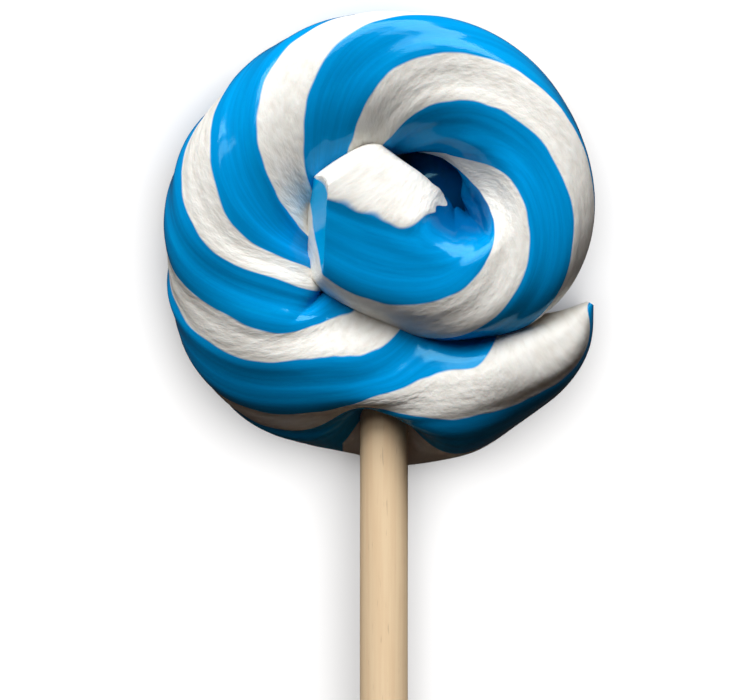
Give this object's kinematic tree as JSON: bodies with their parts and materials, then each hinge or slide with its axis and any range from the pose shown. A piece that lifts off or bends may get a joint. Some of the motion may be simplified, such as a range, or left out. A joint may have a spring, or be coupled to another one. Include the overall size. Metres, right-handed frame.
{
  "type": "lollipop",
  "caption": "Coil-shaped lollipop: one thick rope of blue and white pulled sugar wound round itself, flat at the back, on a plain round wooden stick.",
  "frame": {"origin": "on the candy's flat back, under the middle of the coil, on the line of the stick", "axes": "+Z out of the shown face of the coil, +Y from the stick towards the top of the coil, +X to the right of the shown face"},
  "size_m": [0.0536, 0.1799, 0.0188],
  "materials": {
    "sugar": "pulled sugar in twisted strands, glossy translucent blue and satin aerated white",
    "wood": "bare pale birch, fine straight grain, matt"
  },
  "bodies": {
    "root": {"candy": "sugar", "stick": "wood"}
  },
  "joints": []
}
